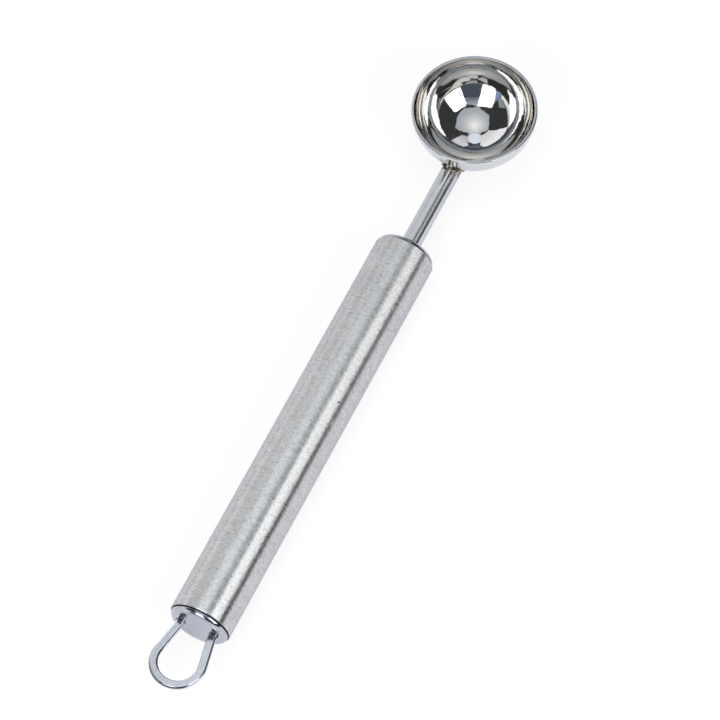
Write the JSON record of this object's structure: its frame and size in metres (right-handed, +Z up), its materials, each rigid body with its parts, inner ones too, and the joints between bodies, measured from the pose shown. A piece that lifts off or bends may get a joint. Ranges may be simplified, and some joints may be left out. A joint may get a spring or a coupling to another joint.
{
  "type": "melon baller",
  "caption": "Steel melon baller: a round bowl with a drain hole, welded low on its back to a slim shank, on a capped tubular handle that ends in a wire hanging loop.",
  "frame": {"origin": "on the table, below the middle of the tool's length and width, with the tool lying on its handle", "axes": "+X runs along the handle from the hanging loop to the bowl, +Z is up and is the way the bowl opens"},
  "size_m": [0.1894, 0.0324, 0.0176],
  "materials": {
    "brushed_handle": "stainless steel, satin, brushed round the tube",
    "polished_fittings": "stainless steel, mirror polished",
    "polished_shank": "stainless steel, mirror polished",
    "polished_bowl": "stainless steel, mirror polished, rim ground flat",
    "polished_wire": "stainless steel wire, pressed flat on both faces, mirror polished",
    "weld_metal": "stainless steel, as welded"
  },
  "bodies": {
    "root": {"handle_tube": "brushed_handle", "front_cap": "polished_fittings", "rear_cap": "polished_fittings", "shank": "polished_shank", "shank_weld": "weld_metal", "bowl": "polished_bowl", "bowl_weld": "polished_shank", "hanging_loop": "polished_wire", "loop_welds": "weld_metal"}
  },
  "joints": []
}
